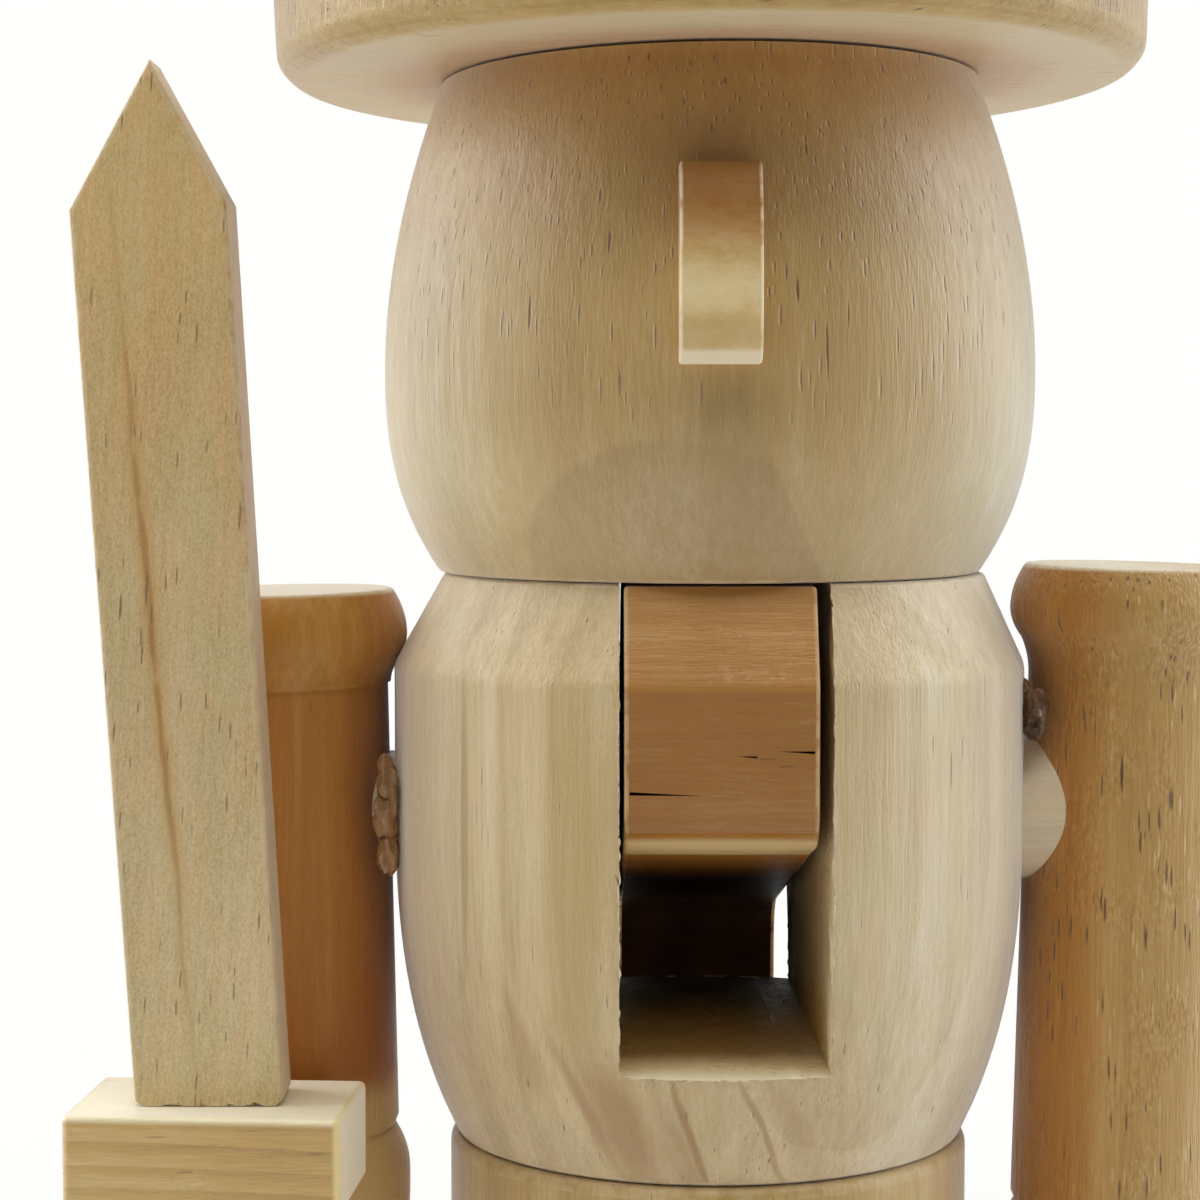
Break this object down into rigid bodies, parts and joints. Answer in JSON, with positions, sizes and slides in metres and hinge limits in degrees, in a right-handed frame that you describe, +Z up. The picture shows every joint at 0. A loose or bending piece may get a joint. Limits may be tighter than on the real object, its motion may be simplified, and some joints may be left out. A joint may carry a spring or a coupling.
{
  "type": "nutcracker soldier",
  "caption": "Raw turned-wood nutcracker soldier on a base, with a brimmed hat, glued arms, a sword and a jaw lever that swings in the slotted body to crack a nut.",
  "frame": {"origin": "middle of the base's underside, on the ground", "axes": "+Z up along the figure, -Y the way that the soldier faces, +X to the soldier's left"},
  "size_m": [0.1135, 0.0937, 0.3058],
  "materials": {
    "body_wood": "raw, turned, unsealed",
    "head_wood": "raw, turned, with short open pores",
    "hat_wood": "raw, turned from a plank, end grain at the sides",
    "nose_wood": "raw, sanded",
    "arm_wood": "raw, turned, warmer wood",
    "jaw_wood": "raw, sawn across the grain",
    "blade_wood": "raw, greyish, rough sawn",
    "guard_wood": "raw, sanded",
    "dowel_wood": "raw dowel",
    "hot_glue": "hot glue, half clear"
  },
  "bodies": {
    "figure": {"base": "body_wood", "toe_left": "body_wood", "toe_right": "body_wood", "leg_left": "body_wood", "leg_right": "body_wood", "leg_dowel_lower_left": "dowel_wood", "leg_dowel_lower_right": "dowel_wood", "leg_dowel_upper_left": "dowel_wood", "leg_dowel_upper_right": "dowel_wood", "hips": "body_wood", "waist_dowel": "dowel_wood", "torso": "body_wood", "jaw_pin": "dowel_wood", "neck_dowel_left": "dowel_wood", "neck_dowel_right": "dowel_wood", "head": "head_wood", "nose": "nose_wood", "hat_brim": "hat_wood", "hat_crown": "hat_wood", "hat_dowel": "dowel_wood", "arm_left": "arm_wood", "arm_right": "arm_wood", "shoulder_peg_left": "dowel_wood", "shoulder_peg_right": "dowel_wood", "shoulder_glue_left": "hot_glue", "shoulder_glue_right": "hot_glue", "sword_blade": "blade_wood", "sword_guard": "guard_wood", "sword_tang": "dowel_wood", "sword_grip": "guard_wood"},
    "jaw": {"jaw_lever": "jaw_wood"}
  },
  "joints": [
    {"name": "jaw_swing", "type": "hinge", "parent": "figure", "child": "jaw", "pos_m": [0, 0.003, 0.1781], "axis": [1, 0, 0], "range_deg": [0, 35]}
  ]
}
